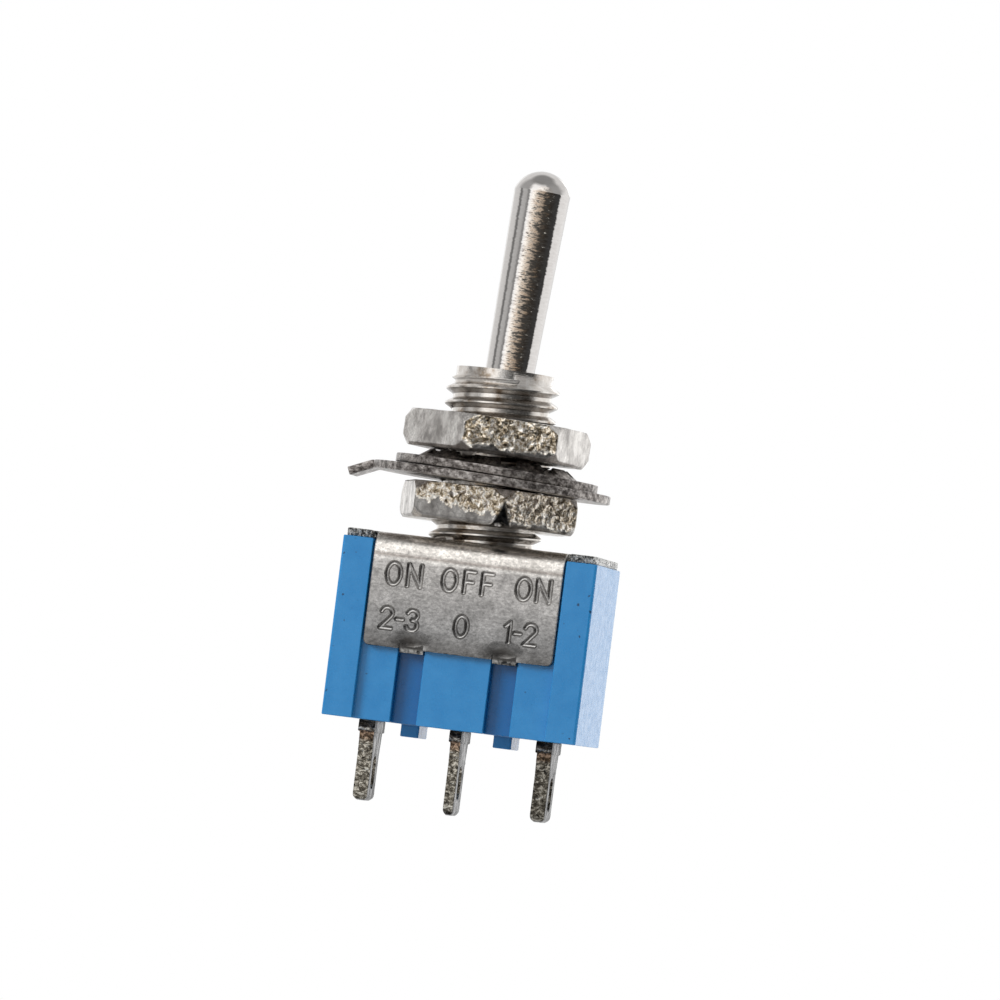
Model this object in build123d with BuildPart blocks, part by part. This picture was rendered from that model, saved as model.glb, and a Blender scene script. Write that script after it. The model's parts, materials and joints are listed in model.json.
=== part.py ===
"""Miniature panel toggle switch, single pole, ON-OFF-ON, with its nuts and washers.

Millimetres. +Z runs up the bushing, +X along the housing, which is the way the lever is thrown,
and the lettered flap faces -Y. The origin is on the bushing's axis at the frame's top face.
"""
import os
from math import atan2, cos, degrees, radians, sin, sqrt

from build123d import *

# Fits
running_gap = 0.05          # radial gap of a ball, pin or nut that turns
slide_gap = 0.04            # radial gap of the plunger in the lever
key_gap = 0.05              # side gap of the washer's tooth in the keyway
touch_gap = 0.02            # gap left where two contacts close or a washer lies on another piece

# Housing
body_length = 13.1
body_width = 7.9
body_height = 9.15
end_wall = 1.1
floor_thickness = 1.55
cavity_width = 4.4
body_corner_radius = 0.15
groove_offset = 2.4
groove_width = 1.35
groove_depth = 0.6
peg_length = 0.95
peg_width = 2.6
peg_height = 0.63

# Frame: a sheet cover whose two flaps fold down over the housing
plate_thickness = 0.4
plate_inset = 0.12
plate_corner_radius = 0.35
flap_width = 9.75
flap_drop = 5.78
flap_corner_radius = 0.3
flap_bend_radius = 1.0
flap_side_gap = 0.1
relief_width = 0.25
tongue_width = 1.25
tongue_height = 0.5
tongue_overhang = 0.2
tongue_inset = 0.3

# Insulating plate under the frame
insulator_thickness = 0.5
insulator_ledge = 0.5
shank_slot_length = 5.3
shank_slot_width = 2.3

# Bushing
thread_radius = 2.9
bushing_height = 8.9
thread_chamfer = 0.3
lip_radius = 2.48
lip_height = 0.45
mouth_radius = 2.25
throat_radius = 1.6
throat_rise = 1.45          # height of the throat above the pivot
seat_rise = 0.9             # height above the pivot where the bore starts to close in
skirt_radius = 2.4
skirt_height = 1.0
spigot_radius = 2.7
flange_radius = 3.1
flange_thickness = 0.35
keyway_width = 1.0
keyway_depth = 0.4

# Lever and its pivot
pivot_height = 4.8
toggle_throw = 12.0         # from upright to either side
rest_lean = 3.2             # how far off upright the lever rests, the play of its middle place
lever_length = 10.4
lever_base_radius = 1.25
lever_tip_radius = 1.44
dome_radius = 1.5
ball_radius = 1.95
shank_radius = 1.0
shank_end = -3.6
spring_bore_radius = 0.72
spring_bore_top = 1.1
pin_radius = 0.4
pin_overhang = 0.22         # how far each pin end stands out of the ball

# Plunger and its spring
plunger_top = -1.6
plunger_tip_radius = 0.6
plunger_taper = 0.8
spring_wire = 0.2
spring_wire_sides = 4       # the fine wire's section is a square, which keeps the coil light
spring_coils = 4
spring_side_gap = 0.1

# Contact rocker
rocker_throw = 8.0
rocker_thickness = 0.4
rocker_width = 2.6
tip_stand = 0.9             # height of the plunger tip's centre above the rocker's axis
crest_reach = 2.45
wing_start = 3.0
wing_end = 4.45
wing_rise = 0.6
trunnion_radius = 0.3
trunnion_span = 3.9
rocker_contact_reach = 3.7
contact_radius = 0.7
contact_thickness = 0.3
contact_dome = 0.2

# Cradle that carries the rocker
cradle_thickness = 0.4
cradle_length = 2.6
ear_gap = 0.2
ear_top_length = 1.5
ear_rise = 0.35             # how far the ears stand above the trunnions
notch_gap = 0.03

# Terminals
end_terminal_gap = 0.475    # between an end terminal and the housing's end wall
terminal_drop = 4.1
terminal_thickness = 0.75
terminal_width = 2.0
neck_width = 2.4
neck_length = 1.2
shoulder_width = 2.9
shoulder_height = 0.6
shoulder_flare = 0.05       # how far the coined shoulder stands out of each broad side
head_inner_reach = 3.05
head_bend_radius = 0.35
slot_width = 0.8
slot_length = 1.7
slot_start = 1.8
blade_tip_radius = 0.4
centre_thickness = 0.52
centre_drop = 4.32
rivet_height = 0.15

# Nuts
nut_across_flats = 8.4
nut_thickness = 1.87
nut_chamfer_depth = 0.35    # how much the turned chamfer takes off each corner
nut_chamfer_rise = 0.5
nut_edge_bevel = 0.15       # rolled edge round the underside
nut_bore_chamfer = 0.2
lower_nut_height = 0.96     # its underside above the frame
lower_nut_turn = -11.4
upper_nut_height = 4.53
upper_nut_turn = 18.7
upper_nut_tilt = 1.2        # how far the loose nut leans on its thread

# Washers, lying loose between the nuts
washer_thickness = 0.42
locating_washer_radius = 6.1
locating_washer_tilt = 2.0
tab_width = 2.0
tab_reach = 6.12
tab_length = 1.35
tab_bend = 25.0
tab_bend_radius = 0.6
lock_washer_radius = 5.2
lock_washer_tilt = 2.5
lock_washer_shift = 0.2     # how far off the bushing's axis it lies
tooth_root_radius = 3.9
tooth_tip_radius = 3.2
tooth_tip_width = 0.3
tooth_rise = 0.5
tooth_count = 10
tooth_slot_width = 0.85

# Heights that follow from the values above
body_top = -plate_thickness
body_bottom = body_top - body_height
cavity_floor = body_bottom + floor_thickness
cavity_length = body_length - 2 * end_wall
terminal_pitch = (cavity_length - terminal_thickness) / 2 - end_terminal_gap
bushing_bottom = body_top - flange_thickness
insulator_bottom = bushing_bottom - insulator_thickness
bore_radius = ball_radius + running_gap
lever_top = bushing_height + lever_length
nut_corner_radius = nut_across_flats / sqrt(3)
nut_face_radius = nut_corner_radius - nut_chamfer_depth
locating_washer_slope = sin(radians(locating_washer_tilt))
locating_washer_lift = touch_gap + nut_face_radius * locating_washer_slope
locating_washer_base = lower_nut_height + nut_thickness + locating_washer_lift
lock_washer_slope = sin(radians(lock_washer_tilt))
lock_washer_lift = touch_gap + lock_washer_radius * (lock_washer_slope - locating_washer_slope)
lock_washer_base = locating_washer_base + washer_thickness + lock_washer_lift
flap_bottom = -flap_drop

# The rocker's axis lies where its domed contacts just close on the fixed ones at full throw
turn = radians(rocker_throw)
head_top = cavity_floor + terminal_thickness
fixed_contact_top = head_top + contact_thickness
contact_sphere = (contact_radius**2 + contact_dome**2) / (2 * contact_dome)
sphere_rise = wing_rise - rocker_thickness - contact_thickness + contact_sphere
closing_drop = rocker_contact_reach * sin(turn) - sphere_rise * cos(turn) + contact_sphere
rocker_axis_height = fixed_contact_top + touch_gap + closing_drop
fixed_contact_reach = rocker_contact_reach * cos(turn) + sphere_rise * sin(turn)

# The rocker's trough is the path of the plunger's tip, seen from the rocker as both turn
tip_centre_height = rocker_axis_height + tip_stand
tip_arm = pivot_height - tip_centre_height
throw_x = tip_arm * sin(radians(toggle_throw))
throw_z = pivot_height - tip_arm * cos(radians(toggle_throw)) - rocker_axis_height
path_x = throw_x * cos(turn) - throw_z * sin(turn)
path_rise = throw_x * sin(turn) + throw_z * cos(turn) - tip_stand
path_radius = (path_x**2 + path_rise**2) / (2 * path_rise)
trough_radius = path_radius + plunger_tip_radius + slide_gap
trough_centre_height = tip_centre_height + path_radius


def both_sides(offset):
    """The two places at -offset and +offset along X."""
    return Locations((-offset, 0), (offset, 0))


def height_on_ball(radius):
    """How far above the ball's centre its surface has this radius."""
    return sqrt(ball_radius**2 - radius**2)


def angle_on_ball(radius, height):
    """The angle, in the lever's section, of a point on the ball."""
    return degrees(atan2(height, radius))


# Housing: one moulding with end ribs, flap recesses, two staking grooves a side, and two feet
recess_length = flap_width + 2 * flap_side_gap
panel_y = body_width / 2 - plate_thickness
with BuildPart() as housing:
    with BuildSketch(Plane.XY.offset(body_bottom)):
        Rectangle(body_length, body_width)
        with Locations((0, body_width / 2), (0, -body_width / 2)):
            Rectangle(recess_length, 2 * plate_thickness, mode=Mode.SUBTRACT)
        with GridLocations(2 * groove_offset, 2 * panel_y, 2, 2):
            Rectangle(groove_width, 2 * groove_depth, mode=Mode.SUBTRACT)
    extrude(amount=body_height)
    corners = housing.edges().filter_by(Axis.Z).group_by(Axis.X)
    fillet(corners[0] + corners[-1], body_corner_radius)
    panel_tops = housing.edges().filter_by(Axis.X).group_by(Axis.Z)[-1]
    panel_tops = panel_tops.filter_by(lambda edge: abs(abs(edge.center().Y) - panel_y) < 1e-6)
    fillet(panel_tops, flap_bend_radius - plate_thickness)
    with BuildSketch(Plane.XY.offset(body_top)):
        Rectangle(cavity_length, cavity_width)
    extrude(amount=cavity_floor - body_top, mode=Mode.SUBTRACT)
    with BuildSketch(Plane.XY.offset(body_top)):
        Rectangle(cavity_length + insulator_ledge, cavity_width + 2 * insulator_ledge)
    extrude(amount=insulator_bottom - body_top, mode=Mode.SUBTRACT)
    with BuildSketch(Plane.XY.offset(body_top)):
        Circle(flange_radius + running_gap)
    extrude(amount=bushing_bottom - body_top, mode=Mode.SUBTRACT)
    with BuildSketch(Plane.XY.offset(body_bottom)):
        with both_sides(groove_offset):
            RectangleRounded(peg_length, peg_width, body_corner_radius)
    extrude(amount=-peg_height)
    with BuildSketch(Plane.XY.offset(body_bottom)):
        with both_sides(terminal_pitch):
            Rectangle(terminal_thickness, neck_width)
        Rectangle(centre_thickness, neck_width)
    extrude(amount=floor_thickness, mode=Mode.SUBTRACT)

# Frame: top plate with a folded flap front and back, relief cuts, and tongues staked inwards
flap_y = body_width / 2
tongue_section = [
    (flap_y, flap_bottom + tongue_height),
    (flap_y - tongue_inset, flap_bottom - tongue_overhang),
    (flap_y - tongue_inset - plate_thickness, flap_bottom - tongue_overhang),
    (flap_y - plate_thickness, flap_bottom + tongue_height),
]
with BuildPart() as frame:
    with BuildSketch(Plane.YZ) as channel:
        with Locations((0, flap_bottom / 2)):
            Rectangle(body_width, flap_drop)
        fillet(channel.vertices().group_by(Axis.Y)[-1], flap_bend_radius)
        with Locations((0, (flap_bottom - plate_thickness) / 2)):
            Rectangle(2 * panel_y, flap_drop - plate_thickness, mode=Mode.SUBTRACT)
        inner_corners = channel.vertices().filter_by(lambda v: abs(v.Y + plate_thickness) < 1e-6)
        fillet(inner_corners, flap_bend_radius - plate_thickness)
    extrude(amount=flap_width / 2, both=True)
    fillet(frame.edges().filter_by(Axis.Y).group_by(Axis.Z)[0], flap_corner_radius)
    with BuildSketch():
        plate_width = body_width - 2 * plate_inset
        RectangleRounded(body_length - 2 * plate_inset, plate_width, plate_corner_radius)
        with GridLocations(flap_width + relief_width, plate_width, 2, 2):
            Rectangle(relief_width, 2 * flap_bend_radius, mode=Mode.SUBTRACT)
        Rectangle(flap_width, plate_width, mode=Mode.SUBTRACT)
    extrude(amount=-plate_thickness)
    with BuildSketch(Plane.XY.offset(flap_bottom)):
        with GridLocations(2 * groove_offset, body_width, 2, 2):
            Rectangle(tongue_width, 2 * plate_thickness)
    extrude(amount=tongue_height, mode=Mode.SUBTRACT)
    for side in (-groove_offset, groove_offset):
        with BuildSketch(Plane.YZ.offset(side)):
            with BuildLine():
                Polyline(tongue_section, close=True)
            make_face()
            mirror(about=Plane.YZ)
        extrude(amount=tongue_width / 2, both=True)
    with BuildSketch():
        Circle(spigot_radius)
    extrude(amount=-plate_thickness, mode=Mode.SUBTRACT)

# Insulating plate in the housing's mouth, with an oblong hole for the lever's shank
with BuildPart() as insulator:
    with BuildSketch(Plane.XY.offset(insulator_bottom)):
        Rectangle(cavity_length + insulator_ledge, cavity_width + 2 * insulator_ledge)
        SlotOverall(shank_slot_length, shank_slot_width, mode=Mode.SUBTRACT)
    extrude(amount=insulator_thickness)

# Bushing: turned, bored out for the lever's ball, with pin slots and a keyway
lip_bottom = bushing_height - lip_height
with BuildPart() as bushing:
    with BuildSketch(Plane.XZ):
        with BuildLine():
            Polyline(
                (bore_radius, pivot_height + seat_rise),
                (bore_radius, skirt_height),
                (skirt_radius, bushing_bottom),
                (flange_radius, bushing_bottom),
                (flange_radius, body_top),
                (spigot_radius, body_top),
                (spigot_radius, 0),
                (thread_radius, 0),
                (thread_radius, lip_bottom - thread_chamfer),
                (lip_radius, lip_bottom),
                (lip_radius, bushing_height),
                (mouth_radius, bushing_height),
                (throat_radius, pivot_height + throat_rise),
                close=True,
            )
        make_face()
    revolve(axis=Axis.Z)
    slot_radius = pin_radius + running_gap
    with BuildSketch(Plane.XZ):
        with Locations((0, pivot_height)):
            Circle(slot_radius)
        with Locations((0, (pivot_height + bushing_bottom) / 2)):
            Rectangle(2 * slot_radius, pivot_height - bushing_bottom)
    extrude(amount=ball_radius + pin_overhang + running_gap, both=True, mode=Mode.SUBTRACT)
    with BuildSketch():
        with Locations((-thread_radius, 0)):
            Rectangle(2 * keyway_depth, keyway_width)
    extrude(amount=bushing_height, mode=Mode.SUBTRACT)

# Lever: tapered handle with a domed end, pivot ball, and a hollow shank for plunger and spring
dome_height = dome_radius - sqrt(dome_radius**2 - lever_tip_radius**2)
taper_top = lever_top - dome_height
taper = (lever_tip_radius - lever_base_radius) / (taper_top - bushing_height)
radius_at_pivot = lever_base_radius - taper * (bushing_height - pivot_height)
neck_rise = height_on_ball(radius_at_pivot + taper * ball_radius)
neck_radius = sqrt(ball_radius**2 - neck_rise**2)
shank_rise = -height_on_ball(shank_radius)
neck_angle = angle_on_ball(neck_radius, neck_rise)
shank_angle = angle_on_ball(shank_radius, shank_rise)
with BuildPart() as lever:
    with BuildSketch(Plane.XZ):
        with BuildLine():
            dome = RadiusArc((0, lever_top), (lever_tip_radius, taper_top), dome_radius)
            Line(dome @ 1, (neck_radius, pivot_height + neck_rise))
            CenterArc((0, pivot_height), ball_radius, neck_angle, shank_angle - neck_angle)
            Polyline(
                (shank_radius, pivot_height + shank_rise),
                (shank_radius, shank_end),
                (spring_bore_radius, shank_end),
                (spring_bore_radius, spring_bore_top),
                (0, spring_bore_top),
                (0, lever_top),
            )
        make_face()
    revolve(axis=Axis.Z)
    with BuildSketch(Plane.XZ):
        with Locations((0, pivot_height)):
            Circle(pin_radius)
    extrude(amount=ball_radius, both=True, mode=Mode.SUBTRACT)

# Pivot pin, pressed through the ball
with BuildPart() as pivot_pin:
    with BuildSketch(Plane.XZ):
        with Locations((0, pivot_height)):
            Circle(pin_radius)
    extrude(amount=ball_radius + pin_overhang, both=True)

# Plunger: a nylon pin with a rounded nose, sliding in the shank
plunger_radius = spring_bore_radius - slide_gap
with BuildPart() as plunger:
    with BuildSketch(Plane.XZ):
        with BuildLine():
            Polyline(
                (0, tip_centre_height - plunger_tip_radius),
                (0, plunger_top),
                (plunger_radius, plunger_top),
                (plunger_radius, tip_centre_height + plunger_taper),
                (plunger_tip_radius, tip_centre_height),
            )
            CenterArc((0, tip_centre_height), plunger_tip_radius, 0, -90)
        make_face()
    revolve(axis=Axis.Z)
    chamfer(plunger.edges().sort_by(Axis.Z)[-1], slide_gap)

# Coil spring between the shank's blind end and the plunger
coil_radius = spring_bore_radius - spring_side_gap - spring_wire / 2
coil_height = spring_bore_top - plunger_top - spring_wire
with BuildPart() as plunger_spring:
    with BuildLine(Plane.XY.offset(plunger_top + spring_wire / 2)) as coil:
        Helix(coil_height / spring_coils, coil_height, coil_radius)
    with BuildSketch(Plane(origin=coil.line @ 0, z_dir=coil.line % 0)):
        RegularPolygon(spring_wire / 2, spring_wire_sides)
    sweep(is_frenet=True)

# Rocker: a bent strip, trough in the middle and a flat wing at each end, on two trunnions
crest_height = trough_centre_height - sqrt(trough_radius**2 - crest_reach**2)
wing_top = rocker_axis_height + wing_rise
trough_bottom = trough_centre_height - trough_radius
with BuildPart() as rocker:
    with BuildSketch(Plane.XZ):
        with BuildLine():
            Polyline(
                (-wing_end, wing_top),
                (-wing_start, wing_top),
                (-crest_reach, crest_height),
            )
            ThreePointArc(
                (-crest_reach, crest_height),
                (0, trough_bottom),
                (crest_reach, crest_height),
            )
            Polyline(
                (crest_reach, crest_height),
                (wing_start, wing_top),
                (wing_end, wing_top),
            )
            offset(amount=rocker_thickness, side=Side.RIGHT, kind=Kind.INTERSECTION)
        make_face()
    extrude(amount=rocker_width / 2, both=True)
    with BuildSketch(Plane.XZ):
        with Locations((0, rocker_axis_height)):
            Circle(trunnion_radius)
    extrude(amount=trunnion_span / 2, both=True)

# Cradle: a U of strip whose two notched ears carry the rocker's trunnions
ear_inner = rocker_width / 2 + ear_gap
ear_outer = ear_inner + cradle_thickness
ear_top = rocker_axis_height + ear_rise
notch_radius = trunnion_radius + notch_gap
with BuildPart() as rocker_cradle:
    with BuildSketch(Plane.YZ):
        with Locations((0, (cavity_floor + ear_top) / 2)):
            Rectangle(2 * ear_outer, ear_top - cavity_floor)
        with Locations((0, (cavity_floor + cradle_thickness + ear_top) / 2)):
            Rectangle(2 * ear_inner, ear_top - cavity_floor - cradle_thickness, mode=Mode.SUBTRACT)
    extrude(amount=cradle_length / 2, both=True)
    foot_edges = rocker_cradle.edges().filter_by(Axis.X).group_by(Axis.Z)[0]
    fillet(foot_edges, cradle_thickness * 0.75)
    with BuildSketch(Plane.XZ):
        with BuildLine():
            Polyline(
                (ear_top_length / 2, ear_top),
                (cradle_length / 2, cavity_floor + 2 * cradle_thickness),
                (cradle_length / 2, ear_top),
                close=True,
            )
        make_face()
        mirror(about=Plane.YZ)
        with Locations((0, rocker_axis_height)):
            Circle(notch_radius)
        with Locations((0, (rocker_axis_height + ear_top) / 2)):
            Rectangle(2 * notch_radius, ear_top - rocker_axis_height)
    extrude(amount=ear_outer, both=True, mode=Mode.SUBTRACT)
    with BuildSketch(Plane.XY.offset(cavity_floor)):
        Rectangle(centre_thickness, neck_width)
    extrude(amount=cradle_thickness, mode=Mode.SUBTRACT)


def blade_outline(drop):
    """Half of a solder lug's outline below the housing, in Y and Z, from its shoulder to its tip."""
    shoulder_bottom = body_bottom - shoulder_height
    return [
        (0, body_bottom),
        (neck_width / 2, body_bottom),
        (neck_width / 2, shoulder_bottom),
        (terminal_width / 2, shoulder_bottom - neck_length),
        (terminal_width / 2, body_bottom - drop),
        (0, body_bottom - drop),
    ]


def solder_lug(drop, thickness):
    """A solder lug below the housing, centred on the origin's axis, with its stop shoulder."""
    with BuildPart() as lug:
        with BuildSketch(Plane.YZ) as blade:
            with BuildLine():
                Polyline(blade_outline(drop), close=True)
            make_face()
            mirror(about=Plane.YZ)
            tip_corners = blade.vertices().group_by(Axis.Y)[0].filter_by(lambda v: abs(v.X) > 0.1)
            fillet(tip_corners, blade_tip_radius)
            with Locations((0, body_bottom - slot_start - slot_length / 2)):
                SlotOverall(slot_length, slot_width, rotation=90, mode=Mode.SUBTRACT)
        extrude(amount=thickness / 2, both=True)
        with BuildSketch(Plane.XY.offset(body_bottom)):
            Rectangle(thickness + 2 * shoulder_flare, shoulder_width)
        extrude(amount=-shoulder_height)
    return lug.part


# End terminal: a strip through the floor, its top bent inwards to carry the fixed contact
with BuildPart() as end_terminal:
    add(solder_lug(terminal_drop, terminal_thickness))
    half_thickness = terminal_thickness / 2
    with BuildSketch(Plane.XZ):
        with BuildLine():
            Polyline(
                (-half_thickness, body_bottom),
                (half_thickness, body_bottom),
                (half_thickness, head_top),
                (head_inner_reach - terminal_pitch, head_top),
                (head_inner_reach - terminal_pitch, cavity_floor),
                (-half_thickness, cavity_floor),
                close=True,
            )
        make_face()
    extrude(amount=neck_width / 2, both=True)
    bend = end_terminal.edges().filter_by(Axis.Y).group_by(Axis.Z)[-1].sort_by(Axis.X)[-1]
    fillet(bend, head_bend_radius)

# Centre terminal: a thinner strip, riveted over inside the cradle
with BuildPart() as terminal_centre:
    add(solder_lug(centre_drop, centre_thickness))
    tail_top = cavity_floor + cradle_thickness
    with BuildSketch(Plane.XY.offset(body_bottom)):
        Rectangle(centre_thickness, neck_width)
    extrude(amount=tail_top - body_bottom)
    with BuildSketch(Plane.XY.offset(tail_top)):
        RectangleRounded(2 * centre_thickness, 2 * ear_inner - ear_gap, centre_thickness / 2)
    extrude(amount=rivet_height, taper=20)

# Contact buttons: a domed one under each rocker wing, a flat one on each end terminal
contact_top = wing_top - rocker_thickness
contact_apex = contact_top - contact_thickness
with BuildPart() as domed_contact:
    with BuildSketch(Plane.XZ):
        with BuildLine():
            Polyline(
                (0, contact_apex),
                (0, contact_top),
                (contact_radius, contact_top),
                (contact_radius, contact_apex + contact_dome),
            )
            RadiusArc((contact_radius, contact_apex + contact_dome), (0, contact_apex), contact_sphere)
        make_face()
    revolve(axis=Axis.Z)

with BuildPart() as flat_contact:
    with BuildSketch(Plane.XY.offset(head_top)):
        Circle(contact_radius)
    extrude(amount=contact_thickness)

# Locating washer: flat ring with a tooth in the keyway and a tab bent down
bore_of_nut = thread_radius + running_gap
locating_washer_top = locating_washer_base + washer_thickness
bend_turn = radians(tab_bend)
tab_end = -tab_reach - tab_length * cos(bend_turn)
with BuildPart() as locating_washer:
    with BuildSketch(Plane.XY.offset(locating_washer_base)):
        Circle(locating_washer_radius)
        Circle(bore_of_nut, mode=Mode.SUBTRACT)
        with Locations((-thread_radius, 0)):
            Rectangle(2 * (keyway_depth - running_gap), keyway_width - 2 * key_gap)
    extrude(amount=washer_thickness)
    with BuildSketch(Plane.XZ):
        with BuildLine():
            FilletPolyline(
                (-locating_washer_radius + tab_width / 2, locating_washer_top),
                (-tab_reach, locating_washer_top),
                (tab_end, locating_washer_top - tab_length * sin(bend_turn)),
                radius=tab_bend_radius,
            )
            offset(amount=washer_thickness, side=Side.LEFT, kind=Kind.INTERSECTION)
        make_face()
    extrude(amount=tab_width / 2, both=True)

# Lock washer: flat ring with raised teeth towards the bushing
lock_washer_top = lock_washer_base + washer_thickness
tooth_tip_height = lock_washer_top + tooth_rise
with BuildPart() as lock_washer:
    with BuildSketch(Plane.XZ):
        with BuildLine():
            Polyline(
                (tooth_root_radius, lock_washer_base),
                (lock_washer_radius, lock_washer_base),
                (lock_washer_radius, lock_washer_top),
                (tooth_root_radius + tooth_tip_width, lock_washer_top),
                (tooth_tip_radius + tooth_tip_width, tooth_tip_height),
                (tooth_tip_radius, tooth_tip_height - tooth_tip_width),
                close=True,
            )
        make_face()
    revolve(axis=Axis.Z)
    with BuildSketch(Plane.XY.offset(lock_washer_base)):
        with PolarLocations(tooth_root_radius / 2, tooth_count):
            Rectangle(tooth_root_radius, tooth_slot_width)
    extrude(amount=tooth_tip_height - lock_washer_base, mode=Mode.SUBTRACT)


def hexagon_nut(base, angle):
    """A nut standing on the height base, turned by angle, with its corners and bore chamfered."""
    top = base + nut_thickness
    with BuildPart() as nut:
        with BuildSketch(Plane.XY.offset(base)):
            RegularPolygon(nut_across_flats / 2, 6, major_radius=False, rotation=angle)
        extrude(amount=nut_thickness)
        chamfer(nut.edges().group_by(Axis.Z)[0], nut_edge_bevel)
        with BuildSketch(Plane.XZ):
            with BuildLine():
                Polyline(
                    (bore_of_nut + nut_bore_chamfer, base),
                    (nut_face_radius, base),
                    (nut_corner_radius, base + nut_chamfer_rise),
                    (nut_corner_radius, top - nut_chamfer_rise),
                    (nut_face_radius, top),
                    (bore_of_nut + nut_bore_chamfer, top),
                    (bore_of_nut, top - nut_bore_chamfer),
                    (bore_of_nut, base + nut_bore_chamfer),
                    close=True,
                )
            make_face()
        revolve(axis=Axis.Z, mode=Mode.INTERSECT)
    return nut.part


lower_nut = hexagon_nut(lower_nut_height, lower_nut_turn)
upper_nut = hexagon_nut(upper_nut_height, upper_nut_turn)

pieces = {
    "housing": housing.part,
    "frame": frame.part,
    "insulator": insulator.part,
    "bushing": bushing.part,
    "lever": lever.part,
    "pivot_pin": pivot_pin.part,
    "plunger": plunger.part,
    "plunger_spring": plunger_spring.part,
    "rocker": rocker.part,
    "rocker_cradle": rocker_cradle.part,
    "terminal_centre": terminal_centre.part,
    "terminal_right": Pos(terminal_pitch, 0, 0) * end_terminal.part,
    "rocker_contact_right": Pos(rocker_contact_reach, 0, 0) * domed_contact.part,
    "fixed_contact_right": Pos(fixed_contact_reach, 0, 0) * flat_contact.part,
    "locating_washer": locating_washer.part,
    "lock_washer": lock_washer.part,
    "lower_nut": lower_nut,
    "upper_nut": upper_nut,
}
for right_name in ("terminal_right", "rocker_contact_right", "fixed_contact_right"):
    left_name = right_name.replace("right", "left")
    pieces[left_name] = pieces[right_name].mirror(Plane.YZ)


def leant(piece, height, angle):
    """The piece turned by angle about the line along Y at this height, its +X side going down."""
    return Pos(0, 0, height) * Rot(0, angle, 0) * Pos(0, 0, -height) * piece


# At rest the lever leans towards +X with all that it carries, and the rocker has followed it
rocker_lean = -rest_lean * rocker_throw / toggle_throw
for name in ("lever", "pivot_pin", "plunger", "plunger_spring"):
    pieces[name] = leant(pieces[name], pivot_height, rest_lean)
for name in ("rocker", "rocker_contact_left", "rocker_contact_right"):
    pieces[name] = leant(pieces[name], rocker_axis_height, rocker_lean)

# The loose washers and the upper nut lie aslant
upper_nut_middle = upper_nut_height + nut_thickness / 2
lie_of = {
    "locating_washer": (locating_washer_base, locating_washer_tilt),
    "lock_washer": (lock_washer_base, lock_washer_tilt),
    "upper_nut": (upper_nut_middle, upper_nut_tilt),
}
for name, (height, angle) in lie_of.items():
    pieces[name] = leant(pieces[name], height, angle)
pieces["lock_washer"] = Pos(lock_washer_shift, 0, 0) * pieces["lock_washer"]

os.makedirs("parts", exist_ok=True)
for name, piece in pieces.items():
    piece.label = name
    export_step(piece, f"parts/{name}.step")

spring_fixed_end = pivot_height - (pivot_height - spring_bore_top) * cos(radians(rest_lean))
print(f"rocker axis z {rocker_axis_height:.4f}, spring fixed end z {spring_fixed_end:.4f}")
print(f"trough radius {trough_radius:.3f}, centre z {trough_centre_height:.3f}")
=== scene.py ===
"""Looks of a miniature panel toggle switch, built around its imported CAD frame.

Blender's scene is in metres. Meshes are made in millimetres, and so are positions in the finishes.
"""

import json
import math

import bmesh
import bpy
import numpy as np
from mathutils import Matrix, Vector, noise


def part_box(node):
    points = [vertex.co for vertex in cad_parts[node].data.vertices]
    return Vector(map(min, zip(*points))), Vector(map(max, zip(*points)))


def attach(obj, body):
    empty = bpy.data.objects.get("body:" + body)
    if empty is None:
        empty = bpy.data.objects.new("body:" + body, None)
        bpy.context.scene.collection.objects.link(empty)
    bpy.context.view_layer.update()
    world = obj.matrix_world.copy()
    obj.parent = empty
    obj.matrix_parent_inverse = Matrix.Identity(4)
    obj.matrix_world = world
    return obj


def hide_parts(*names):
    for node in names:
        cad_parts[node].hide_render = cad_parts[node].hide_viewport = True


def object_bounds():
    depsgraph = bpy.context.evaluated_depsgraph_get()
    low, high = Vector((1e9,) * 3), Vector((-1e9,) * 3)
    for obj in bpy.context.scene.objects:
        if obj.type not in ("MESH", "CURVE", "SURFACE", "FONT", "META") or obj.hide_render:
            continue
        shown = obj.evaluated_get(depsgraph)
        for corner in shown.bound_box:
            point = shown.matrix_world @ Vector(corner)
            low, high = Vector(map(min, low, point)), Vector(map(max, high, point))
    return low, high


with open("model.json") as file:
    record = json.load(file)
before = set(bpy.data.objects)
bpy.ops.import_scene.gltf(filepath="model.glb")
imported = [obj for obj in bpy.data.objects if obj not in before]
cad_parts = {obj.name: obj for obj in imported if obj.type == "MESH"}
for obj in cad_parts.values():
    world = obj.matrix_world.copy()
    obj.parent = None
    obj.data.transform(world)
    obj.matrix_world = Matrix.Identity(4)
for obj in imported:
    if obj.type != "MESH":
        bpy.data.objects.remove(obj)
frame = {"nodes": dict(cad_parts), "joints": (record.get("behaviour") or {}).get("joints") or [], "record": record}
cad_low, cad_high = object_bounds()

MM = 0.001
RECORD = frame["record"]
BODY_OF = {node: body for body, nodes in RECORD["behaviour"]["bodies"].items() for node in nodes}
SLOT_OF = {part["node"]: part["material_slot"] for part in RECORD["subparts"]}
JOINTS = {joint["name"]: joint for joint in frame["joints"]}
PIVOT = Vector(JOINTS["toggle_throw"]["pos_m"])
LEVER_AXIS = Vector(JOINTS["plunger_slide"]["axis"])

# Landmarks of the frame and its lettered flap, millimetres
FLAP_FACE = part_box("frame")[0].y / MM
FRAME_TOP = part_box("frame")[1].z / MM
TONGUE_TOP = -5.78          # the flap's lower edge, where the two staking tongues start
DIMPLE_OFFSET = 2.4         # of the dimples that staking the tongues leaves above them
DIMPLE_DROP = 5.5


# ---------------------------------------------------------------- nodes

MIX_A, MIX_B, MIX_RESULT = 6, 7, 2      # the Mix node's colour sockets, by number


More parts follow.
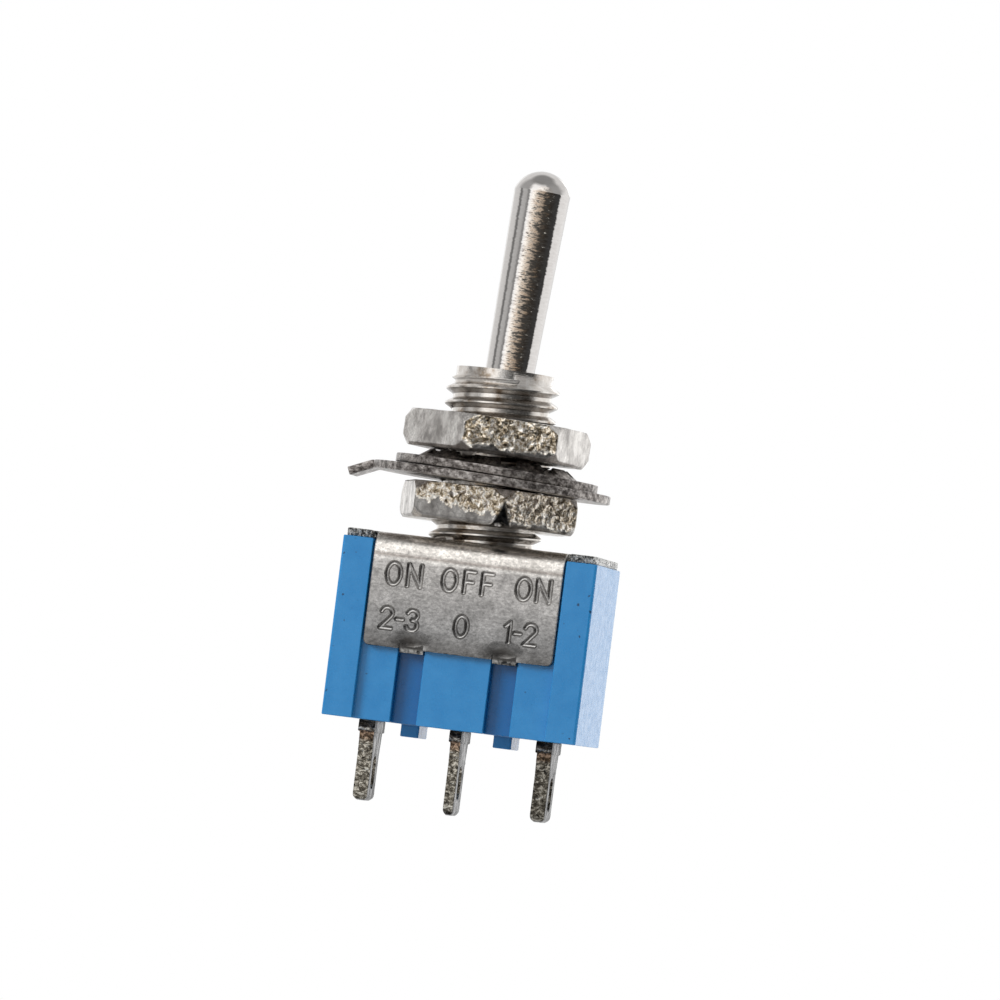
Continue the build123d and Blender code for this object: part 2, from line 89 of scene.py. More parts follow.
class Tree:
    """Short calls that add nodes to a material's or the world's tree."""

    def __init__(self, owner):
        owner.use_nodes = True
        self.tree = owner.node_tree

    def add(self, kind, inputs=None, **settings):
        node = self.tree.nodes.new("ShaderNode" + kind)
        for name, value in settings.items():
            setattr(node, name, value)
        for name, value in (inputs or {}).items():
            self.feed(value, node.inputs[name])
        return node

    def feed(self, value, socket):
        if isinstance(value, bpy.types.NodeSocket):
            self.tree.links.new(value, socket)
        else:
            socket.default_value = value

    def ramp(self, value, stops):
        """Colours along a value; stops, lowest first, are (position, (r, g, b) or a grey)."""
        node = self.add("ValToRGB", {"Fac": value})
        elements = node.color_ramp.elements
        elements.remove(elements[1])
        for at, colour in stops:
            element = elements[0] if at == stops[0][0] else elements.new(at)
            element.position = at
            element.color = (*(colour if isinstance(colour, tuple) else (colour,) * 3), 1)
        return node.outputs["Color"]

    def spread(self, value, low, high, to_low=0.0, to_high=1.0):
        """A value from low to high, mapped to to_low to to_high and held at the ends."""
        inputs = {"Value": value, "From Min": low, "From Max": high}
        inputs.update({"To Min": to_low, "To Max": to_high})
        return self.add("MapRange", inputs).outputs["Result"]

    def vary(self, value, low, high):
        """A noise, which mostly keeps between 0.3 and 0.7, mapped to low to high."""
        return self.spread(value, 0.3, 0.7, low, high)

    def maths(self, operation, a, b=0.0):
        return self.add("Math", {0: a, 1: b}, operation=operation).outputs["Value"]

    def times(self, a, b):
        return self.maths("MULTIPLY", a, b)

    def size(self, value):
        return self.maths("ABSOLUTE", value)

    def vector(self, operation, a, b=(0, 0, 0)):
        return self.add("VectorMath", {0: a, 1: b}, operation=operation).outputs["Vector"]

    def dot(self, a, b):
        return self.add("VectorMath", {0: a, 1: b}, operation="DOT_PRODUCT").outputs["Value"]

    def split(self, vector):
        return self.add("SeparateXYZ", {0: vector}).outputs

    def glow(self, colour=(1, 1, 1, 1), strength=1.0):
        return self.add("Emission", {"Color": colour, "Strength": strength}).outputs["Emission"]

    def mixed(self, factor, a, b):
        """Two shaders, mixed."""
        return self.add("MixShader", {"Fac": factor, 1: a, 2: b}).outputs["Shader"]


class Nodes(Tree):
    """A material with one Principled shader."""

    def __init__(self, name, **sockets):
        self.material = bpy.data.materials.new(name)
        super().__init__(self.material)
        self.shader = self.tree.nodes["Principled BSDF"]
        for socket, value in sockets.items():
            self.shader.inputs[socket].default_value = value

    def colour(self, value):
        self.feed(value, self.shader.inputs["Base Color"])

    def roughness(self, value):
        self.feed(value, self.shader.inputs["Roughness"])

    def position(self, scale=(1, 1, 1), origin=(0, 0, 0), turn=(0, 0, 0)):
        """Object coordinates in millimetres about an origin and turn, stretched by scale."""
        texco = self.add("TexCoord")
        place = self.add("Mapping", {"Vector": texco.outputs["Object"]}, vector_type="TEXTURE")
        place.inputs["Location"].default_value = origin
        place.inputs["Rotation"].default_value = turn
        place.inputs["Scale"].default_value = [MM / s for s in scale]
        return place.outputs["Vector"]

    def normal(self):
        return self.add("NewGeometry").outputs["Normal"]

    def attribute(self, name):
        return self.add("Attribute", attribute_name=name).outputs["Fac"]

    def noise_node(self, scale, detail=4.0, rough=0.6, vector=None, distortion=0.0):
        inputs = {"Scale": scale, "Detail": detail, "Roughness": rough, "Distortion": distortion}
        node = self.add("TexNoise", inputs)
        self.feed(vector or self.position(), node.inputs["Vector"])
        return node

    def noise(self, *settings, **more):
        return self.noise_node(*settings, **more).outputs["Fac"]

    def mix(self, factor, a, b, blend_type="MIX"):
        """Two colours, mixed."""
        node = self.add("Mix", data_type="RGBA", blend_type=blend_type)
        self.feed(factor, node.inputs["Factor"])
        for value, socket in ((a, node.inputs[MIX_A]), (b, node.inputs[MIX_B])):
            self.feed((*value, 1) if isinstance(value, tuple) else value, socket)
        return node.outputs[MIX_RESULT]

    def tinted(self, colour, by):
        return self.mix(1.0, colour, by, "MULTIPLY")

    def swung(self, normal, direction, amount):
        """A normal swung towards a direction, which breaks up what a smooth surface mirrors."""
        inputs = {0: direction, "Scale": amount}
        sway = self.add("VectorMath", inputs, operation="SCALE").outputs["Vector"]
        return self.vector("NORMALIZE", self.vector("ADD", normal, sway))

    def bump(self, height, distance_mm, strength=1.0, normal=None):
        """Feeds the shader a bumped normal, which a second call can take up and replace."""
        inputs = {"Height": height, "Distance": distance_mm * MM, "Strength": strength}
        node = self.add("Bump", inputs)
        if normal:
            self.feed(normal, node.inputs["Normal"])
        self.feed(node.outputs["Normal"], self.shader.inputs["Normal"])
        return node.outputs["Normal"]


# ---------------------------------------------------------------- finishes

# Where the finishes change, millimetres: each is where a mask is 0 and where it is 1
GROOVE_DEPTH = (3.45, 3.20)             # housing's grooves, from its middle plane
GROOVE_SPAN = (5.2, 5.0)                # between the housing's end ribs, from the middle
FOOT_TOP = (-9.7, -9.5)
BEND_AND_FLAP = (-6.0, 0.0)             # heights that the flap's tones run over
BEHIND_FLAP_FACE = (FLAP_FACE + 0.02, FLAP_FACE + 0.10)
FLAP_FRONT = (-3.0, -3.2)
BELOW_BEND = (-1.15, -1.25)
FLAP_SPAN = (4.70, 4.65)
TONGUES = (TONGUE_TOP + 0.06, TONGUE_TOP - 0.04)
END_PLATES = (4.85, 4.95)               # the frame's cut ends, from the middle
LUG_HEIGHT = (-9.5, -14.0)
LUG_RIM = (0.75, 0.95)                  # the lugs' edges, from their middle
RIGHT_LUG = (2.0, 4.0)

# Where the lever is worn: degrees to the right of the front, and the cosines of the angle from
# there that the wear fades over
WORN_TURN = 15.0
WORN_FADE = (0.88, 0.97)


def blue_plastic():
    """Light blue moulding with painted shade in its grooves and a weaker one on its feet, and a few dark specks.
    """
    m = Nodes("blue_plastic", IOR=1.42)
    place = m.split(m.position())
    tint = m.ramp(m.noise(0.9, 3), [(0.35, (0.018, 0.190, 0.45)), (0.65, (0.026, 0.212, 0.48))])
    # Painted shade: darker blue on the grooves' floors, and less of it on the feet
    inset = m.spread(m.size(place["Y"]), *GROOVE_DEPTH)
    groove_and_foot_shade = m.times(inset, m.spread(m.size(place["X"]), *GROOVE_SPAN))
    groove_and_foot_shade = m.times(groove_and_foot_shade, m.spread(place["Z"], *FOOT_TOP, 0.3, 1.0))
    tint = m.mix(groove_and_foot_shade, tint, (0.002, 0.104, 0.30))
    specks = m.spread(m.noise(3.4, 1, 0.4), 0.76, 0.80)
    m.colour(m.mix(specks, tint, (0.012, 0.05, 0.12)))
    m.roughness(m.vary(m.noise(3.0, 3), 0.20, 0.30))
    m.bump(m.noise(9, 3), 0.001, 0.6)
    return m.material


def nickel_lever():
    """Bright nickel; the marks of a worn brown strip down the front break up what it mirrors."""
    m = Nodes("nickel_lever", Metallic=1.0)
    lean = (0, math.atan2(LEVER_AXIS.x, LEVER_AXIS.z), 0)
    marks = m.noise(1.0, 6, 0.75, m.position((2.2, 2.2, 9), PIVOT, lean))
    normal = m.normal()
    heading = math.radians(WORN_TURN)
    facing = m.dot(normal, (math.sin(heading), -math.cos(heading), 0))
    worn = m.spread(facing, *WORN_FADE)
    clean = m.ramp(marks, [(0.3, (0.64, 0.61, 0.59)), (0.7, (0.74, 0.72, 0.70))])
    brown = m.ramp(marks, [
        (0.38, (0.22, 0.16, 0.11)), (0.48, (0.56, 0.46, 0.37)), (0.56, (0.94, 0.87, 0.77)),
    ])
    m.colour(m.mix(worn, clean, brown))
    m.roughness(m.vary(m.noise(1.0, 3, 0.6, m.position((0.8, 0.8, 6), PIVOT, lean)), 0.05, 0.13))
    around = m.vector("CROSS_PRODUCT", tuple(LEVER_AXIS), normal)
    swing = m.times(m.spread(marks, 0.36, 0.64, -0.42, 0.42), m.spread(worn, 0, 1, 0.08, 1.0))
    grain = m.noise(7, 3, 0.6, m.position(origin=PIVOT, turn=lean))
    m.bump(grain, 0.003, 0.6, m.swung(normal, around, swing))
    return m.material


def nickel_thread():
    """Nickel with brown stains, and painted shade on the downward-facing flank under each turn of the thread."""
    m = Nodes("nickel_thread", Metallic=1.0)
    metal = m.ramp(m.noise(0.8, 5, 0.65), [
        (0.36, (0.36, 0.29, 0.22)), (0.46, (0.66, 0.61, 0.56)), (0.64, (0.86, 0.83, 0.79)),
    ])
    # Painted shade on faces that point downwards, under each crest
    under = m.spread(m.split(m.normal())["Z"], -0.25, -0.55, 0.0, 0.65)
    m.colour(m.mix(under, metal, (0.05, 0.045, 0.04)))
    m.roughness(m.vary(m.noise(3.0, 4), 0.08, 0.22))
    m.bump(m.noise(1.0, 4, 0.65, m.position((3, 3, 14))), 0.02, 0.7)
    return m.material


def nickel_sheet():
    """Satin nickel sheet with a painted highlight at the bend, darker towards the bottom, letters with painted
    shade and painted highlight on their walls, painted shade round the dimples, and torn, speckled cut edges.
    """
    m = Nodes("nickel_sheet", Metallic=1.0)
    place = m.split(m.position())
    off_middle = m.size(place["X"])

    # Painted highlight along the bend, with a painted dark line in it; below the bend the sheet turns darker
    # towards the bottom
    tone_with_painted_light = m.ramp(m.spread(place["Z"], *BEND_AND_FLAP), [
        (0.0, (0.12, 0.115, 0.11)), (0.22, (0.30, 0.295, 0.29)), (0.76, (0.50, 0.48, 0.46)),
        (0.785, (0.80, 0.77, 0.73)), (0.81, (0.40, 0.36, 0.33)), (0.84, (0.78, 0.74, 0.69)),
    ])
    cloud = m.vary(m.noise(0.9, 4, 0.6), 0.70, 1.20)
    fine = m.vary(m.noise(5, 5, 0.75, m.position((1, 1, 1.6))), 0.50, 1.40)
    base = m.tinted(m.tinted(tone_with_painted_light, cloud), fine)

    # Painted shade on the letters' walls where they face right and down, painted highlight where they face left
    # and up
    pressed = m.times(m.spread(place["Y"], *BEHIND_FLAP_FACE), m.spread(place["Z"], *BELOW_BEND))
    flap = m.times(m.spread(off_middle, *FLAP_SPAN), m.spread(place["Y"], *FLAP_FRONT))
    pressed = m.times(pressed, flap)
    lit = m.dot(m.normal(), (-0.6, 0, 0.8))
    shaded, shining = m.spread(lit, 0.0, -0.4, 0.1, 0.85), m.spread(lit, 0.1, 0.45, 0.0, 0.9)
    base = m.mix(m.times(pressed, shaded), base, (0.07, 0.065, 0.06))
    base = m.mix(m.times(pressed, shining), base, (1.0, 0.98, 0.95))

    # Painted shade round each staking dimple
    across = m.maths("SUBTRACT", off_middle, DIMPLE_OFFSET)
    down = m.times(m.maths("ADD", place["Z"], DIMPLE_DROP), 2.2)
    away = m.maths("ADD", m.times(across, across), m.times(down, down))
    dimple_shade = m.times(m.spread(away, 0.5, 0.02), m.spread(m.noise(2.6, 3), 0.35, 0.6, 0.4, 1.0))
    base = m.mix(m.times(dimple_shade, 0.85), base, (0.06, 0.055, 0.05))

    ragged = m.ramp(m.noise(3.2, 4, 0.7), [(0.42, (0.03, 0.03, 0.03)), (0.60, (0.45, 0.44, 0.42))])
    base = m.mix(m.spread(place["Z"], *TONGUES), base, ragged)
    end = m.spread(off_middle, *END_PLATES)
    cut = m.ramp(m.noise(6, 4, 0.75), [
        (0.40, (0.02, 0.02, 0.02)), (0.48, (0.30, 0.30, 0.29)), (0.57, (0.90, 0.89, 0.86)),
    ])
    m.colour(m.mix(end, base, cut))
    grain = m.noise(16, 5, 0.75)
    m.roughness(m.vary(grain, 0.17, 0.30))
    torn = m.bump(m.times(m.noise(7, 4, 0.8), end), 0.14)
    m.bump(grain, 0.010, 0.75, torn)
    return m.material


def washer_steel():
    """Dull plated steel, stained dark."""
    m = Nodes("washer_steel", Metallic=1.0)
    m.colour(m.ramp(m.noise(2.6, 5, 0.75, m.position((1, 1, 1.5))), [
        (0.38, (0.05, 0.042, 0.038)), (0.5, (0.26, 0.235, 0.22)), (0.60, (0.60, 0.56, 0.53)),
    ]))
    m.roughness(m.vary(m.noise(5, 4, 0.7), 0.22, 0.42))
    m.bump(m.noise(7, 5, 0.75), 0.05, 0.8)
    return m.material


def nut_metal():
    """Plating over a pitted surface: bright on the high spots, brown and gold in the pits.

    The meshes carry two attributes: "rough", how pitted a point is, and "ridge", above 0 on the
    ragged line that ends a face's pits, where a highlight is painted, and below 0 where shade is
    painted, just under that line and in the notch.
    """
    m = Nodes("nut_metal", Metallic=1.0)
    scaly = m.spread(m.attribute("rough"), 0.35, 0.75)
    ridge = m.attribute("ridge")
    pitted = m.ramp(m.noise(3.3, 5, 0.72, distortion=1.0), [
        (0.38, (0.06, 0.045, 0.03)), (0.46, (0.50, 0.40, 0.27)), (0.52, (0.88, 0.79, 0.66)),
        (0.60, (1.0, 0.96, 0.90)),
    ])
    smooth = m.ramp(m.noise(1.0, 5, 0.6, m.position((1.3, 1.3, 0.9))), [
        (0.34, (0.36, 0.34, 0.32)), (0.5, (0.66, 0.63, 0.60)), (0.66, (0.92, 0.89, 0.85)),
    ])
    worn = m.mix(scaly, smooth, pitted)
    # Painted highlight along the ridge line, and painted shade below it and in the notch
    worn = m.mix(m.spread(ridge, 0, 1), worn, (1.0, 0.97, 0.90))
    m.colour(m.mix(m.spread(ridge, 0, -1), worn, (0.01, 0.01, 0.01)))
    m.roughness(m.spread(scaly, 0, 1, 0.24, 0.16))
    flecks = m.noise_node(2.8, 3, 0.6).outputs["Color"]
    centred = m.vector("SUBTRACT", flecks, (0.5, 0.5, 0.5))
    unit = m.swung(m.normal(), centred, m.times(scaly, 2.7))
    m.bump(m.noise(4.2, 4, 0.7, distortion=1.2), 0.03, 1.0, unit)
    return m.material


def terminal_metal():
    """Dull silver plate, dark in the rough of the sheared edges and brown at the neck, with a painted highlight
    line below the housing and painted shade on the rounded tips.
    """
    m = Nodes("terminal_metal", Metallic=1.0)
    m.shader.inputs["Specular Tint"].default_value = (0.5, 0.5, 0.5, 1)     # less low glare
    place = m.split(m.position())
    edge = m.spread(m.size(m.split(m.normal())["Y"]), 0.35, 0.7)
    torn = m.ramp(m.noise(1.0, 5, 0.75, m.position((4, 1, 6)), 0.6), [
        (0.38, (0.03, 0.028, 0.025)), (0.50, (0.22, 0.20, 0.17)), (0.60, (0.90, 0.87, 0.81)),
    ])
    # Down the sheared edges: dark at the top, a painted highlight line, dark again, brown at the neck, a pale
    # band, plain plate, and painted shade on the rounded tips
    tone_with_painted_light = m.ramp(m.spread(place["Z"], *LUG_HEIGHT), [
        (0.02, (0.10, 0.10, 0.10)), (0.09, (0.16, 0.15, 0.15)), (0.10, (1.0, 1.0, 1.0)),
        (0.12, (1.0, 1.0, 1.0)), (0.13, (0.12, 0.11, 0.11)), (0.15, (0.75, 0.54, 0.42)),
        (0.22, (0.75, 0.57, 0.44)), (0.26, (1.0, 0.97, 0.90)), (0.80, (0.80, 0.78, 0.72)),
        (0.90, (0.80, 0.80, 0.77)), (0.94, (0.14, 0.14, 0.14)),
    ])
    tone_with_painted_light = m.tinted(tone_with_painted_light, m.spread(place["X"], *RIGHT_LUG, 1.0, 0.6))
    plate = m.ramp(m.noise(1.0, 4, 0.65, m.position((1, 3, 1.2))), [
        (0.36, (0.10, 0.10, 0.10)), (0.48, (0.34, 0.34, 0.34)), (0.62, (0.66, 0.66, 0.66)),
    ])
    rim = m.spread(m.size(place["Y"]), *LUG_RIM)
    plate = m.mix(m.times(rim, 0.8), plate, (0.08, 0.08, 0.08))
    m.colour(m.mix(edge, plate, m.tinted(torn, tone_with_painted_light)))
    m.roughness(m.spread(edge, 0, 1, 0.22, 0.34))
    m.bump(m.noise(7, 4, 0.7), 0.05, 0.8)
    return m.material


def plain(name, low, high, roughness, metallic=0.0, scale=3.0):
    """A quiet finish for the inner pieces: two tones of noise, with fine grain and bump."""
    m = Nodes(name, Metallic=metallic)
    grain = m.noise(scale, 4)
    m.colour(m.ramp(grain, [(0.3, low), (0.7, high)]))
    m.roughness(m.vary(grain, roughness, roughness * 1.4))
    m.bump(m.noise(scale * 4, 3), 0.01, 0.6)
    return m.material


FINISHES = {
    "blue_plastic": blue_plastic(),
    "nickel_sheet": nickel_sheet(),
    "nickel_brass": nickel_thread(),
    "nickel_lever": nickel_lever(),
    "terminal_metal": terminal_metal(),
    "washer_steel": washer_steel(),
    "nut_metal": nut_metal(),
    "fibre_board": plain("fibre_board", (0.16, 0.08, 0.04), (0.30, 0.17, 0.09), 0.6, scale=6),
    "steel_pin": plain("steel_pin", (0.5, 0.5, 0.5), (0.65, 0.65, 0.65), 0.2, 1.0),
    "nylon": plain("nylon", (0.74, 0.73, 0.66), (0.84, 0.83, 0.77), 0.4),
    "spring_steel": plain("spring_steel", (0.36, 0.36, 0.38), (0.52, 0.52, 0.53), 0.25, 1.0, 8),
    "silvered_brass": plain("silvered_brass", (0.62, 0.50, 0.28), (0.74, 0.64, 0.42), 0.25, 1.0),
    "contact_silver": plain("contact_silver", (0.72, 0.71, 0.69), (0.86, 0.85, 0.83), 0.2, 1.0),
}
for node, slot in SLOT_OF.items():
    materials = frame["nodes"][node].data.materials
    materials.clear()
    materials.append(FINISHES[slot])


# ---------------------------------------------------------------- meshes, made in millimetres

BEVEL_ABOVE = 35.0          # degrees: the edges that bevelled() rounds


def new_object(name, data):
    obj = bpy.data.objects.new(name, data)
    bpy.context.scene.collection.objects.link(obj)
    return obj


def cad_copy(node):
    """A CAD node's mesh with its split vertices joined, in millimetres."""
    bm = bmesh.new()
    bm.from_mesh(frame["nodes"][node].data)
    bmesh.ops.scale(bm, vec=Vector((1, 1, 1)) / MM, verts=bm.verts)
    bmesh.ops.remove_doubles(bm, verts=bm.verts, dist=2e-4)
    return bm


def as_object(name, bm):
    mesh = bpy.data.meshes.new(name)
    bm.to_mesh(mesh)
    bm.free()
    return new_object(name, mesh)


def apply(obj, kind, **settings):
    """Adds one modifier and bakes it into the object's mesh."""
    modifier = obj.modifiers.new(kind, kind)
    for name, value in settings.items():
        setattr(modifier, name, value)
    graph = bpy.context.evaluated_depsgraph_get()
    mesh = bpy.data.meshes.new_from_object(obj.evaluated_get(graph))
    obj.modifiers.clear()
    obj.data = mesh


def boolean(obj, other, operation):
    apply(obj, "BOOLEAN", object=other, operation=operation, solver="EXACT")
    bpy.data.objects.remove(other)


def reskinned(node, name, facet):
    """A CAD node's copy with an even skin of small facets, which lie on the node's own surface."""
    obj = as_object(name, cad_copy(node))
    apply(obj, "REMESH", mode="VOXEL", voxel_size=facet, use_smooth_shade=True)
    target = as_object("target", cad_copy(node))
    apply(obj, "SHRINKWRAP", target=target, wrap_method="NEAREST_SURFACEPOINT")
    bpy.data.objects.remove(target)
    return obj


def bevelled(node, name, width, merge=0.0):
    """A CAD node's copy with small rounds on its edges; steps under "merge" are closed first."""
    bm = cad_copy(node)
    if merge:
        bmesh.ops.remove_doubles(bm, verts=bm.verts, dist=merge)
    bmesh.ops.dissolve_limit(bm, angle_limit=math.radians(0.2), verts=bm.verts, edges=bm.edges)
    obj = as_object(name, bm)
    apply(obj, "BEVEL", width=width, segments=2, limit_method="ANGLE",
          angle_limit=math.radians(BEVEL_ABOVE), use_clamp_overlap=False)
    return obj


def points_and_normals(mesh):
    """A mesh's vertices and their normals, as two arrays with a row each."""
    flat = np.empty(3 * len(mesh.vertices))
    mesh.vertices.foreach_get("co", flat)
    return flat.reshape(-1, 3), np.array([normal.vector for normal in mesh.vertex_normals])


def stand_in(obj, node, sharp_degrees=30, flats=False):
    """Puts a piece made in millimetres in the place of a CAD node, with its finish and body."""
    obj.data.transform(Matrix.Scale(MM, 4))
    obj.data.shade_smooth()
    obj.data.set_sharp_from_angle(angle=math.radians(sharp_degrees))
    if flats:       # large flat faces keep their own normals
        apply(obj, "WEIGHTED_NORMAL", keep_sharp=True, weight=100)
    obj.data.materials.clear()
    obj.data.materials.append(FINISHES[SLOT_OF[node]])
    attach(obj, BODY_OF[node])
    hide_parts(node)


# ---------------------------------------------------------------- bushing

PITCH = 0.75
THREAD_ROOT = 2.5
THREAD_CREST = 2.88         # just inside the plain cylinder that it replaces
THREAD_SHOULDER = THREAD_CREST - 0.05
THREAD_WEAR = 0.012         # its unevenness
THREAD_STEPS = 120          # to one turn
THREAD_PHASE = 0.12         # height of the first turn's start
THREAD_TURNS = range(-3, 13)
CLEAR_RADIUS = 3.6          # of the part below the frame's top face, which stays as it is
CLEAR_BELOW = -0.1
ENVELOPE_ENDS = (-4.0, 12.0)

# One turn's section: rise within the pitch, and radius
THREAD_SECTION = [
    (0.000, THREAD_ROOT), (0.188, THREAD_ROOT), (0.380, THREAD_SHOULDER), (0.432, THREAD_CREST),
    (0.506, THREAD_CREST), (0.558, THREAD_SHOULDER),
]


def thread_envelope():
    """A closed solid whose side is a right-hand thread, open wide below the frame's top face."""
    bm = bmesh.new()
    columns = []
    for step in range(THREAD_STEPS):
        angle = 2 * math.pi * step / THREAD_STEPS
        c, s = math.cos(angle), math.sin(angle)
        column = []
        for turn in THREAD_TURNS:
            for rise, radius in THREAD_SECTION:
                z = (turn + step / THREAD_STEPS) * PITCH + rise + THREAD_PHASE
                worn = radius + THREAD_WEAR * noise.noise(Vector((3 * c, 3 * s, 2 * z)))
                r = CLEAR_RADIUS if z < CLEAR_BELOW else worn
                column.append(bm.verts.new((r * c, r * s, z)))
        columns.append(column)
    for a, b in zip(columns, columns[1:]):
        for row in range(len(a) - 1):
            bm.faces.new((a[row], b[row], b[row + 1], a[row + 1]))
    # The last column meets the first one turn up, which leaves a step in each rim
    last, first, per_turn = columns[-1], columns[0], len(THREAD_SECTION)
    for row in range(len(last) - 1 - per_turn):
        up = row + per_turn
        bm.faces.new((last[row], first[up], first[up + 1], last[row + 1]))
    bottom = [column[0] for column in columns] + first[per_turn:0:-1]
    top = [column[-1] for column in columns[::-1]] + last[-1 - per_turn:-1]
    for rim, height in zip((bottom, top), ENVELOPE_ENDS):
        tip = bm.verts.new((0, 0, height))
        for a, b in zip(rim, rim[1:] + rim[:1]):
            bm.faces.new((b, a, tip))
    bmesh.ops.recalc_face_normals(bm, faces=bm.faces)
    return as_object("thread_envelope", bm)


def make_bushing():
    bushing = as_object("threaded_bushing", cad_copy("bushing"))
    boolean(bushing, thread_envelope(), "INTERSECT")
    stand_in(bushing, "bushing", 25)


# ---------------------------------------------------------------- frame with its lettering

STROKE_WIDTH = 0.27
STROKE_DEPTH = 0.11
DIMPLE_WIDTH = 0.75
DIMPLE_HEIGHT = 0.42
DIMPLE_DEPTH = 0.20
DIMPLE_EDGE = 0.01          # taken off, so that a dimple ends
STAMP_STEP = 0.035          # between the points of the stamp's back
STAMP_MARGIN = 0.25         # from the flap's sides
STAMP_REACH = (6.2, 1.1)    # of the stamp's lower and upper edges, below the flap's top
STAMP_GAP = 0.03            # between the flap and the flat of the stamp's back
STAMP_THICKNESS = 1.0
FLAP_BELOW = -3.0           # a height well below the bend

# Each row: its glyphs' height, its drop from the flap's top, and the glyphs with their middles,
# from the flap's left edge
ROWS = [
    (1.10, 2.05, [("O", 1.15), ("N", 2.22), ("O", 4.03), ("F", 5.05), ("F", 5.97), ("O", 7.85),
                  ("N", 8.87)]),
    (1.05, 4.30, [("2", 1.05), ("-", 1.72), ("3", 2.38), ("0", 4.90), ("1", 7.28), ("-", 7.80),
                  ("2", 8.46)]),
]


def arc(cx, cz, rx, rz, start, end, steps=14):
    """Points on an ellipse's arc, degrees counted from +X towards +Z."""
    turns = np.radians(np.linspace(start, end, steps))
    return [(cx + rx * math.cos(t), cz + rz * math.sin(t)) for t in turns]


# Each glyph is its width as a share of its height, and strokes in a box of that width and height 1
GLYPHS = {
    "O": (0.64, [arc(0.32, 0.5, 0.32, 0.5, 0, 360, 28)]),
    "N": (0.60, [[(0, 0), (0, 1), (0.60, 0), (0.60, 1)]]),
    "F": (0.44, [[(0, 0), (0, 1), (0.44, 1)], [(0, 0.52), (0.38, 0.52)]]),
    "0": (0.60, [arc(0.30, 0.5, 0.30, 0.5, 0, 360, 24)]),
    "1": (0.22, [[(0, 0.78), (0.22, 1), (0.22, 0)]]),
    "2": (0.54, [arc(0.27, 0.73, 0.27, 0.27, 165, -40) + [(0, 0), (0.54, 0)]]),
    "3": (0.52, [arc(0.25, 0.75, 0.25, 0.25, 160, -90), arc(0.25, 0.26, 0.27, 0.26, 90, -160)]),
    "-": (0.30, [[(0, 0.48), (0.30, 0.48)]]),
}


def strokes_of(glyph, middle_x, middle_z, height):
    """The segments of one glyph, in flap coordinates about its middle."""
    width, strokes = GLYPHS[glyph]
    segments = []
    for stroke in strokes:
        placed = [(middle_x + (x - width / 2) * height, middle_z + (z - 0.5) * height)
                  for x, z in stroke]
        segments += list(zip(placed, placed[1:]))
    return segments


def lettering(left, top):
    """All segments of the two rows, from the flap's left edge and top."""
    segments = []
    for height, drop, row in ROWS:
        for glyph, x in row:
            segments += strokes_of(glyph, left + x, top - drop, height)
    return segments


def distance_to(segments, x, z):
    """Least distance from each grid point to any segment."""
    least = np.full(x.shape, np.inf)
    for (x0, z0), (x1, z1) in segments:
        dx, dz = x1 - x0, z1 - z0
        share = np.clip(((x - x0) * dx + (z - z0) * dz) / (dx * dx + dz * dz + 1e-12), 0, 1)
        least = np.minimum(least, np.hypot(x - x0 - share * dx, z - z0 - share * dz))
    return least


def lettering_stamp(left, right, top, face_y):
    """A block in front of the flap whose back is flat but for what it presses into the flap."""
    xs = np.arange(left + STAMP_MARGIN, right - STAMP_MARGIN, STAMP_STEP)
    zs = np.arange(top - STAMP_REACH[0], top - STAMP_REACH[1], STAMP_STEP)
    x, z = np.meshgrid(xs, zs)
    near = distance_to(lettering(left, top), x, z)
    depth = STROKE_DEPTH * (1 - (near / (STROKE_WIDTH / 2)) ** 2)
    middle = (left + right) / 2
    for side in (-1, 1):
        across = (x - middle - side * DIMPLE_OFFSET) / DIMPLE_WIDTH
        down = (top - z - DIMPLE_DROP) / DIMPLE_HEIGHT
        dimple = DIMPLE_DEPTH * np.exp(-(across ** 2 + down ** 2)) - DIMPLE_EDGE
        depth = np.maximum(depth, dimple)
    back = face_y + np.maximum(depth, -STAMP_GAP)
    bm = bmesh.new()
    rows = [[bm.verts.new((x[i, j], back[i, j], z[i, j])) for j in range(len(xs))]
            for i in range(len(zs))]
    for a, b in zip(rows, rows[1:]):
        for j in range(len(xs) - 1):
            bm.faces.new((a[j], b[j], b[j + 1], a[j + 1]))
    rim = rows[0][:-1] + [row[-1] for row in rows[:-1]]
    rim += rows[-1][:0:-1] + [row[0] for row in rows[:0:-1]]
    front = [bm.verts.new((v.co.x, face_y - STAMP_THICKNESS, v.co.z)) for v in rim]
    for i in range(len(rim)):
        j = (i + 1) % len(rim)
        bm.faces.new((rim[i], rim[j], front[j], front[i]))
    bm.faces.new(front)
    bmesh.ops.recalc_face_normals(bm, faces=bm.faces)
    return as_object("lettering_stamp", bm)


def make_frame():
    obj = bevelled("frame", "lettered_frame", 0.045)
    flap = [v.co.x for v in obj.data.vertices if v.co.z < FLAP_BELOW and v.co.y < 0]
    stamp = lettering_stamp(min(flap), max(flap), FRAME_TOP, FLAP_FACE)
    boolean(obj, stamp, "DIFFERENCE")
    stand_in(obj, "frame", 20, flats=True)


# ---------------------------------------------------------------- nuts

NUT_FACET = 0.065
NUT_OUTSIDE = 3.4           # radius beyond which a nut's points are on its flats and corners
FACE_SPREAD = 25            # degrees that normals may turn off a face's heading
HALF_FACE = 30              # degrees round the nut, from a face's middle to its corners
SMOOTH = 0.2                # how rough the other faces are
UNDER_RIDGE = 0.3           # how rough a pitted face is below its ridge
PIT_DEPTH = 0.085
PIT_LEVEL = 0.75            # height of the scales that stay at the CAD's surface
WAVE = 0.012                # unevenness of the whole skin
RIDGE_WIDTH = 0.10
CORNER_RADIUS = 4.6
NOTCH_HALF_WIDTH = 0.50
NOTCH_HEIGHT = 1.25
NOTCH_DEPTH = 0.22
NOTCH_MIDDLE = 1.15         # depth in its middle at the underside, where 1 is already full

